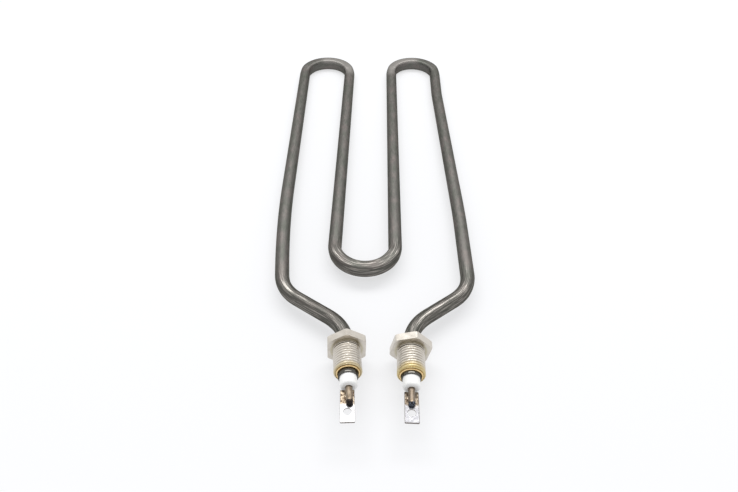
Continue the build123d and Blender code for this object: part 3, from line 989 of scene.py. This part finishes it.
def dress(node, material):
    """Give a CAD node that is kept as it is its finish."""
    mesh = frame["nodes"][node].data
    mesh.materials.clear()
    mesh.materials.append(material)


# ------------------------------------------------------------------ building

build_sheath(paint_sheath())
ceramic = paint_ceramic()
braze = paint_braze()
for end in ENDS:
    build_fitting(end, paint_nickel(end))
    build_bush(end, ceramic)
    build_braze(end, braze)
    build_pin(end, paint_pin(end))
    build_tab(end, paint_tab(end))

magnesia = paint_plain("magnesia", (0.78, 0.76, 0.72), (0.88, 0.86, 0.82), 1.2, 0.8, 0.0)
wire = paint_plain("resistance_wire", (0.38, 0.37, 0.35), (0.5, 0.49, 0.46), 0.8, 0.4, 1.0)
potting = paint_plain("potting", (0.10, 0.09, 0.085), (0.16, 0.15, 0.14), 1.0, 0.6, 0.0)
dress("magnesia_filling", magnesia)
dress("resistance_coil", wire)
for end in ENDS:
    dress("end_seal_" + end.name, potting)


# ------------------------------------------------------------------ floor, light and camera

def seen_share(tree):
    """An output that is 1 for what the camera, gloss and glass see, and 0 for plain light."""
    path = tree.nodes.new("ShaderNodeLightPath")
    seen = path.outputs["Is Camera Ray"]
    for kind in ("Is Glossy Ray", "Is Transmission Ray"):
        either = tree.nodes.new("ShaderNodeMath")
        either.operation = "MAXIMUM"
        tree.links.new(seen, either.inputs[0])
        tree.links.new(path.outputs[kind], either.inputs[1])
        seen = either.outputs["Value"]
    return seen


def mix_in_white(tree, kind, share, plain, target):
    """Show white, from a shader of this kind, by a share. The rest is the plain shader."""
    white = tree.nodes.new(kind)
    white.inputs["Color"].default_value = (1, 1, 1, 1)
    white.inputs["Strength"].default_value = 1.0
    mix = tree.nodes.new("ShaderNodeMixShader")
    tree.links.new(share, mix.inputs["Fac"])
    tree.links.new(plain, mix.inputs[1])
    tree.links.new(white.outputs[0], mix.inputs[2])
    tree.links.new(mix.outputs["Shader"], target)


def floor_material():
    """A pale floor that keeps the shadow near the element, and is all white further away."""
    material = bpy.data.materials.new("studio_floor")
    material.use_nodes = True
    tree = material.node_tree
    shader = tree.nodes["Principled BSDF"]
    shader.inputs["Base Color"].default_value = (0.87, 0.87, 0.88, 1)
    shader.inputs["Roughness"].default_value = 0.9
    shader.inputs["Specular IOR Level"].default_value = 0.1
    place = tree.nodes.new("ShaderNodeTexCoord")
    away = tree.nodes.new("ShaderNodeVectorMath")
    away.operation = "LENGTH"
    tree.links.new(place.outputs["Object"], away.inputs[0])
    fade = tree.nodes.new("ShaderNodeMapRange")
    fade.interpolation_type = "SMOOTHSTEP"
    fade.inputs["From Min"].default_value = FLOOR_FADE[0]
    fade.inputs["From Max"].default_value = FLOOR_FADE[1]
    fade.inputs["To Min"].default_value = FLOOR_WHITE
    fade.inputs["To Max"].default_value = 1.0
    tree.links.new(away.outputs["Value"], fade.inputs["Value"])
    share = tree.nodes.new("ShaderNodeMath")
    share.operation = "MULTIPLY"
    tree.links.new(seen_share(tree), share.inputs[0])
    tree.links.new(fade.outputs["Result"], share.inputs[1])
    surface = tree.nodes["Material Output"].inputs["Surface"]
    plain = shader.outputs["BSDF"]
    mix_in_white(tree, "ShaderNodeEmission", share.outputs["Value"], plain, surface)
    return material


def build_floor():
    """The ground that the element lies on."""
    bm = bmesh.new()
    bmesh.ops.create_grid(bm, x_segments=1, y_segments=1, size=FLOOR_SIZE)
    mesh = bpy.data.meshes.new("floor")
    bm.to_mesh(mesh)
    bm.free()
    floor = bpy.data.objects.new("floor", mesh)
    bpy.context.scene.collection.objects.link(floor)
    mesh.materials.append(floor_material())


def build_world():
    """Even pale light from all round, white behind the object."""
    world = bpy.data.worlds.new("studio")
    bpy.context.scene.world = world
    world.use_nodes = True
    tree = world.node_tree
    plain = tree.nodes["Background"]
    plain.inputs["Color"].default_value = (0.93, 0.95, 1.0, 1)
    plain.inputs["Strength"].default_value = WORLD_LIGHT
    surface = tree.nodes["World Output"].inputs["Surface"]
    background = plain.outputs["Background"]
    mix_in_white(tree, "ShaderNodeBackground", seen_share(tree), background, surface)


def build_lamp():
    """A soft rectangular lamp high behind the element."""
    lamp = bpy.data.lights.new("overhead", "AREA")
    lamp.shape = "RECTANGLE"
    lamp.size, lamp.size_y = LAMP_SIZE
    lamp.energy = LAMP_POWER
    holder = bpy.data.objects.new("overhead", lamp)
    bpy.context.scene.collection.objects.link(holder)
    facing = (Vector(LAMP_AIM) - Vector(LAMP_PLACE)).to_track_quat("-Z", "Y").to_matrix()
    holder.matrix_world = Matrix.Translation(LAMP_PLACE) @ facing.to_4x4()


def build_camera():
    """The viewpoint: in front of the element and well above it, looking down on it."""
    pitch, yaw, roll = CAMERA_PITCH, CAMERA_YAW, CAMERA_ROLL
    forward = Vector((sin(yaw) * cos(pitch), cos(yaw) * cos(pitch), -sin(pitch)))
    level = Vector((cos(yaw), -sin(yaw), 0))
    above = level.cross(forward)
    right = level * cos(roll) + above * sin(roll)
    above = above * cos(roll) - level * sin(roll)
    camera = bpy.data.cameras.new("camera")
    camera.sensor_fit = "HORIZONTAL"
    camera.sensor_width = 36.0
    camera.lens = CAMERA_LENS
    camera.clip_start = 0.01
    holder = bpy.data.objects.new("camera", camera)
    bpy.context.scene.collection.objects.link(holder)
    axes = Matrix((right, above, -forward)).transposed().to_4x4()
    holder.matrix_world = Matrix.Translation(CAMERA_PLACE) @ axes
    bpy.context.scene.camera = holder


build_world()
build_floor()
build_lamp()
build_camera()
bpy.context.scene.view_settings.view_transform = "Standard"
